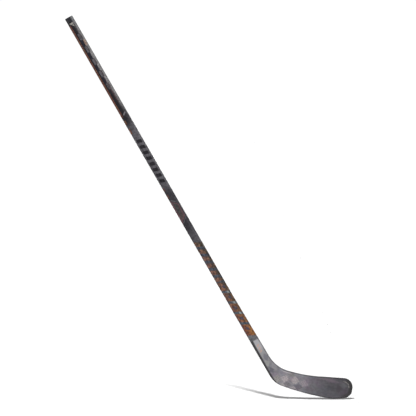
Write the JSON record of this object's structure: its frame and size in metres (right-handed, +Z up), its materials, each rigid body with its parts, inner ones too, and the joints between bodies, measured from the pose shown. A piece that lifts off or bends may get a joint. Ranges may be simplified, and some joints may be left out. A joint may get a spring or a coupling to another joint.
{
  "type": "ice hockey stick",
  "caption": "Senior-length stick with a hollow rounded-rectangle shaft and a thin curved foam-core blade at a natural lie.",
  "frame": {"origin": "the point where the sole touches the ice, in the mid-plane of the shaft", "axes": "+X along the ice from heel to toe, +Z up, +Y out of the forehand face"},
  "size_m": [1.3619, 0.0276, 1.1416],
  "materials": {
    "shaft_paint": "satin",
    "cap_plastic": "matte",
    "blade_laminate": "satin",
    "edge_wrap": "satin",
    "toe_wrap": "matte",
    "bare_laminate": "matte",
    "core_foam": "matte",
    "adhesive": "gloss"
  },
  "bodies": {
    "root": {"shaft_tube": "shaft_paint", "end_cap": "cap_plastic", "shaft_foam_plug": "core_foam", "tenon_sleeve": "bare_laminate", "tenon_core": "core_foam", "tenon_adhesive": "adhesive", "backhand_skin": "blade_laminate", "forehand_skin": "blade_laminate", "heel_core": "core_foam", "lower_core": "core_foam", "upper_core": "core_foam", "centre_rib": "bare_laminate", "sole_edge": "edge_wrap", "top_edge": "edge_wrap", "toe_edge": "toe_wrap"}
  },
  "joints": []
}
